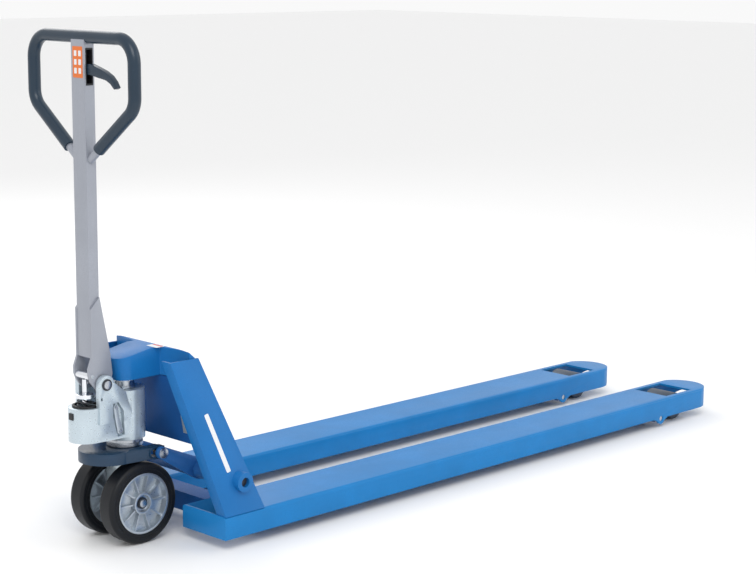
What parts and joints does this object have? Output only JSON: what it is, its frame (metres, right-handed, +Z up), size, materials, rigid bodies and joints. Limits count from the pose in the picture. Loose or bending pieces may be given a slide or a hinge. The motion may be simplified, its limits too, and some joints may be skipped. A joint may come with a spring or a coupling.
{
  "type": "hand pallet truck",
  "caption": "Hand pallet truck with long forks, a hydraulic pump with a tiller, twin steering wheels, a rocker linkage and swinging load rollers that lift the forks",
  "frame": {"origin": "centre of the base of the bounding box, on the floor", "axes": "+X along the forks toward their tips, +Y to the left across the forks, +Z up"},
  "size_m": [2.246, 0.54, 1.231],
  "materials": {
    "left_fork": "semi-gloss blue enamel over pressed steel",
    "right_fork": "semi-gloss blue enamel over pressed steel",
    "left_column": "semi-gloss blue enamel over pressed steel",
    "right_column": "semi-gloss blue enamel over pressed steel",
    "back_wall": "semi-gloss blue enamel, in shadow",
    "hood": "semi-gloss blue enamel over pressed steel",
    "head_plate": "semi-gloss blue enamel over pressed steel",
    "cross_member": "semi-gloss blue enamel, in shadow",
    "lift_ram": "polished and plated",
    "thrust_bearing": "turned steel",
    "rocker_pins": "turned steel",
    "link_pins": "turned steel",
    "rating_plate": "thin satin plate with no writing",
    "steering_yoke": "dark blue enamel on a casting",
    "yoke_bearing": "bronze bush",
    "yoke_screws": "blackened spring steel",
    "pump_casting": "silver enamel on a casting",
    "base_flange": "turned steel",
    "wheel_axle": "turned steel",
    "axle_circlips": "blackened spring steel",
    "tiller_pin": "turned steel",
    "tiller_circlips": "blackened spring steel",
    "plunger_seal": "black seal",
    "valve_lever": "plated pressing",
    "valve_screws": "turned steel",
    "filler_plug": "black moulding",
    "pump_spring": "turned steel",
    "left_wheel_hub": "cast, with ribs",
    "left_wheel_tyre": "solid black tread",
    "left_wheel_bearings": "turned steel",
    "right_wheel_hub": "cast, with ribs",
    "right_wheel_tyre": "solid black tread",
    "right_wheel_bearings": "turned steel",
    "plunger_rod": "polished and plated",
    "spring_cap": "polished and plated",
    "mast_tube": "silver-grey enamel",
    "tiller_foot": "silver-grey enamel",
    "handle_loop": "silver-grey enamel",
    "handle_grip": "dark navy moulding",
    "lever_housing": "black moulding",
    "lever_pin": "turned steel",
    "pressure_roller_pin": "turned steel",
    "control_rod": "turned steel",
    "pressure_roller": "polished and plated",
    "control_lever": "dark navy moulding",
    "rocker_arms": "blue enamel",
    "rocker_tube": "blue enamel",
    "rocker_pivot_bolts": "turned steel",
    "rod_pins": "turned steel",
    "left_push_rod": "dark oiled steel",
    "right_push_rod": "dark oiled steel",
    "left_roller_frame": "blue enamel",
    "left_roller_axle": "turned steel",
    "right_roller_frame": "blue enamel",
    "right_roller_axle": "turned steel",
    "left_load_roller": "solid dark tread",
    "left_roller_bearings": "turned steel",
    "right_load_roller": "solid dark tread",
    "right_roller_bearings": "turned steel"
  },
  "bodies": {
    "chassis": {"left_fork": "left_fork", "right_fork": "right_fork", "left_column": "left_column", "right_column": "right_column", "back_wall": "back_wall", "hood": "hood", "head_plate": "head_plate", "cross_member": "cross_member", "lift_ram": "lift_ram", "thrust_bearing": "thrust_bearing", "rocker_pins": "rocker_pins", "link_pins": "link_pins", "rating_plate": "rating_plate"},
    "yoke": {"steering_yoke": "steering_yoke", "yoke_bearing": "yoke_bearing", "yoke_screws": "yoke_screws"},
    "pump_unit": {"pump_casting": "pump_casting", "base_flange": "base_flange", "wheel_axle": "wheel_axle", "axle_circlips": "axle_circlips", "tiller_pin": "tiller_pin", "tiller_circlips": "tiller_circlips", "plunger_seal": "plunger_seal", "valve_lever": "valve_lever", "valve_screws": "valve_screws", "filler_plug": "filler_plug", "pump_spring": "pump_spring"},
    "left_wheel": {"left_wheel_hub": "left_wheel_hub", "left_wheel_tyre": "left_wheel_tyre", "left_wheel_bearings": "left_wheel_bearings"},
    "right_wheel": {"right_wheel_hub": "right_wheel_hub", "right_wheel_tyre": "right_wheel_tyre", "right_wheel_bearings": "right_wheel_bearings"},
    "plunger": {"plunger_rod": "plunger_rod", "spring_cap": "spring_cap"},
    "tiller": {"mast_tube": "mast_tube", "tiller_foot": "tiller_foot", "handle_loop": "handle_loop", "handle_grip": "handle_grip", "lever_housing": "lever_housing", "lever_pin": "lever_pin", "pressure_roller_pin": "pressure_roller_pin", "control_rod": "control_rod"},
    "press_roller": {"pressure_roller": "pressure_roller"},
    "lever": {"control_lever": "control_lever"},
    "rocker": {"rocker_arms": "rocker_arms", "rocker_tube": "rocker_tube", "rocker_pivot_bolts": "rocker_pivot_bolts", "rod_pins": "rod_pins"},
    "left_rod": {"left_push_rod": "left_push_rod"},
    "right_rod": {"right_push_rod": "right_push_rod"},
    "left_frame": {"left_roller_frame": "left_roller_frame", "left_roller_axle": "left_roller_axle"},
    "right_frame": {"right_roller_frame": "right_roller_frame", "right_roller_axle": "right_roller_axle"},
    "left_roller": {"left_load_roller": "left_load_roller", "left_roller_bearings": "left_roller_bearings"},
    "right_roller": {"right_load_roller": "right_load_roller", "right_roller_bearings": "right_roller_bearings"}
  },
  "joints": [
    {"name": "lift", "type": "slide", "parent": "chassis", "child": "yoke", "axis": [0, 0, -1], "range_m": [0, 0.115]},
    {"name": "steer", "type": "hinge", "parent": "yoke", "child": "pump_unit", "pos_m": [-0.965, 0, 0.24], "axis": [0, 0, 1], "range_deg": [-85, 85]},
    {"name": "left_wheel_spin", "type": "hinge", "parent": "pump_unit", "child": "left_wheel", "pos_m": [-0.973, 0.058, 0.1], "axis": [0, 1, 0], "continuous": true},
    {"name": "right_wheel_spin", "type": "hinge", "parent": "pump_unit", "child": "right_wheel", "pos_m": [-0.973, -0.058, 0.1], "axis": [0, 1, 0], "continuous": true},
    {"name": "tiller_swing", "type": "hinge", "parent": "pump_unit", "child": "tiller", "pos_m": [-1.051, 0, 0.4], "axis": [0, -1, 0], "range_deg": [0, 80], "stiffness_Nm_per_rad": 30, "springref_deg": -28.65},
    {"name": "press_roller_spin", "type": "hinge", "parent": "tiller", "child": "press_roller", "pos_m": [-1.08, 0, 0.421], "axis": [0, 1, 0], "continuous": true},
    {"name": "plunger_stroke", "type": "slide", "parent": "pump_unit", "child": "plunger", "axis": [0, 0, -1], "range_m": [0, 0.049], "deforming": ["pump_spring"]},
    {"name": "lever_pull", "type": "hinge", "parent": "tiller", "child": "lever", "pos_m": [-1.066, -0.006, 1.143], "axis": [-1, 0, 0], "range_deg": [0, 20], "stiffness_Nm_per_rad": 1.5, "springref_deg": -17.19},
    {"name": "rocker_turn", "type": "hinge", "parent": "chassis", "child": "rocker", "pos_m": [-0.809, 0, 0.158], "axis": [0, -1, 0], "range_deg": [0, 53.1]},
    {"name": "left_rod_push", "type": "slide", "parent": "chassis", "child": "left_rod", "axis": [1, 0, 0], "range_m": [0, 0.043]},
    {"name": "right_rod_push", "type": "slide", "parent": "chassis", "child": "right_rod", "axis": [1, 0, 0], "range_m": [0, 0.043]},
    {"name": "left_frame_turn", "type": "hinge", "parent": "chassis", "child": "left_frame", "pos_m": [0.85, 0.19, 0.027], "axis": [0, 1, 0], "range_deg": [0, 68.8]},
    {"name": "right_frame_turn", "type": "hinge", "parent": "chassis", "child": "right_frame", "pos_m": [0.85, -0.19, 0.027], "axis": [0, 1, 0], "range_deg": [0, 68.8]},
    {"name": "left_roller_spin", "type": "hinge", "parent": "left_frame", "child": "left_roller", "pos_m": [0.964, 0.19, 0.041], "axis": [0, 1, 0], "continuous": true},
    {"name": "right_roller_spin", "type": "hinge", "parent": "right_frame", "child": "right_roller", "pos_m": [0.964, -0.19, 0.041], "axis": [0, 1, 0], "continuous": true}
  ],
  "couplings": [
    {"joint": "plunger_stroke", "follows": "tiller_swing", "m_per_rad": 0.0343},
    {"joint": "rocker_turn", "follows": "lift", "rad_per_m": 8.019},
    {"joint": "left_rod_push", "follows": "lift", "ratio": 0.37216},
    {"joint": "right_rod_push", "follows": "lift", "ratio": 0.37216},
    {"joint": "left_frame_turn", "follows": "lift", "rad_per_m": 10.406},
    {"joint": "right_frame_turn", "follows": "lift", "rad_per_m": 10.406}
  ]
}
